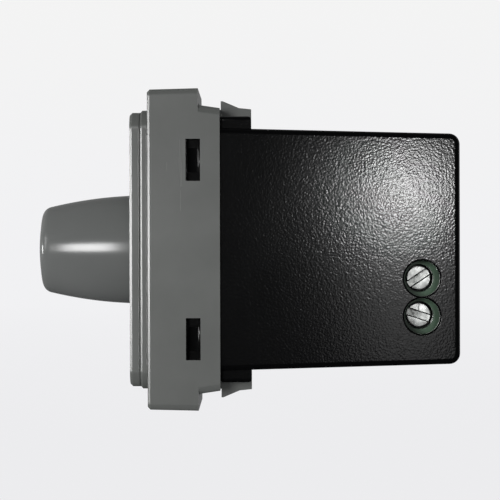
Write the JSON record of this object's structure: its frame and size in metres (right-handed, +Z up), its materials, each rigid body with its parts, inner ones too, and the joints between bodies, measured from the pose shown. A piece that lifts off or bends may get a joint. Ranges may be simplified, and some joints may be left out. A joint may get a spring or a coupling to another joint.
{
  "type": "rotary dimmer switch",
  "caption": "Snap-in rotary dimmer module: push-and-turn knob, stepped grey front, sprung latches, closed black rear housing and screw terminals.",
  "frame": {"origin": "on the knob's axis, in the plane of the flange's rear seat", "axes": "+Z up, knob along -Y, terminal screws face +X"},
  "size_m": [0.0248, 0.0671, 0.0506],
  "materials": {
    "grey_plastic": "satin moulded",
    "knob_plastic": "glossy moulded",
    "black_plastic": "spark-textured",
    "green_plastic": "satin moulded",
    "dark_plastic": "satin moulded",
    "white_plastic": "satin moulded",
    "zinc_steel": "zinc plated",
    "nickel_brass": "nickel plated",
    "spring_brass": "bright",
    "tin_brass": "tin plated",
    "carbon_track": "printed carbon",
    "laminate": "paper laminate",
    "board": "lacquered glass laminate",
    "fibre": "calendered fibre",
    "ferrite": "sintered",
    "copper": "enamelled wire",
    "film_case": "moulded box",
    "can_sleeve": "shrunk sleeve",
    "varistor_coat": "dipped epoxy",
    "fuse_case": "moulded",
    "sink_aluminium": "mill finish",
    "epoxy": "moulded epoxy"
  },
  "bodies": {
    "module": {"front_frame": "grey_plastic", "rear_housing": "black_plastic", "control_bushing": "nickel_brass", "lock_washer": "zinc_steel", "control_nut": "nickel_brass", "control_case": "zinc_steel", "resistive_track": "carbon_track", "track_wafer": "laminate", "track_terminals": "tin_brass", "switch_cover": "dark_plastic", "switch_base": "dark_plastic", "switch_spring": "zinc_steel", "switch_terminals": "tin_brass", "main_board": "board", "insulating_sheet": "fibre", "choke_core": "ferrite", "choke_winding": "copper", "film_capacitor": "film_case", "smoothing_capacitor": "can_sleeve", "varistor": "varistor_coat", "fuse": "fuse_case", "heat_sink": "sink_aluminium", "power_transistors": "epoxy", "controller_chip": "epoxy", "terminal_block": "green_plastic", "terminal_strips": "tin_brass"},
    "rotor": {"wiper_rotor": "dark_plastic", "wiper_contact": "spring_brass"},
    "knob": {"knob": "knob_plastic", "knob_spring_clip": "zinc_steel", "control_shaft": "white_plastic"},
    "plunger": {"switch_plunger": "white_plastic"},
    "upper_latch": {"upper_latch": "grey_plastic"},
    "lower_latch": {"lower_latch": "grey_plastic"},
    "upper_screw": {"upper_terminal_screw": "zinc_steel"},
    "lower_screw": {"lower_terminal_screw": "zinc_steel"},
    "upper_cage": {"upper_lift_cage": "zinc_steel"},
    "lower_cage": {"lower_lift_cage": "zinc_steel"}
  },
  "joints": [
    {"name": "knob_turn", "type": "hinge", "parent": "module", "child": "rotor", "pos_m": [0, 0, 0], "axis": [0, 1, 0], "range_deg": [-145, 145]},
    {"name": "knob_push", "type": "slide", "parent": "rotor", "child": "knob", "axis": [0, 1, 0], "range_m": [0, 0.0012], "stiffness_N_per_m": 1500, "springref_m": -0.0006},
    {"name": "plunger_push", "type": "slide", "parent": "module", "child": "plunger", "axis": [0, 1, 0], "range_m": [0, 0.0012], "deforming": ["switch_spring"]},
    {"name": "upper_latch_flex", "type": "hinge", "parent": "module", "child": "upper_latch", "pos_m": [0, -0.0054, 0.02197], "axis": [-1, 0, 0], "range_deg": [0, 7], "stiffness_Nm_per_rad": 0.5},
    {"name": "lower_latch_flex", "type": "hinge", "parent": "module", "child": "lower_latch", "pos_m": [0, -0.0054, -0.02197], "axis": [1, 0, 0], "range_deg": [0, 7], "stiffness_Nm_per_rad": 0.5},
    {"name": "upper_screw_turn", "type": "hinge", "parent": "module", "child": "upper_screw", "pos_m": [0, 0.035, -0.00464], "axis": [-1, 0, 0], "range_deg": [0, 1260.5]},
    {"name": "upper_cage_lift", "type": "slide", "parent": "module", "child": "upper_cage", "axis": [1, 0, 0], "range_m": [0, 0.00175]},
    {"name": "lower_screw_turn", "type": "hinge", "parent": "module", "child": "lower_screw", "pos_m": [0, 0.035, -0.01054], "axis": [-1, 0, 0], "range_deg": [0, 1260.5]},
    {"name": "lower_cage_lift", "type": "slide", "parent": "module", "child": "lower_cage", "axis": [1, 0, 0], "range_m": [0, 0.00175]}
  ],
  "couplings": [
    {"joint": "plunger_push", "follows": "knob_push", "ratio": 1},
    {"joint": "upper_screw_turn", "follows": "upper_cage_lift", "rad_per_m": 12566},
    {"joint": "lower_screw_turn", "follows": "lower_cage_lift", "rad_per_m": 12566}
  ]
}
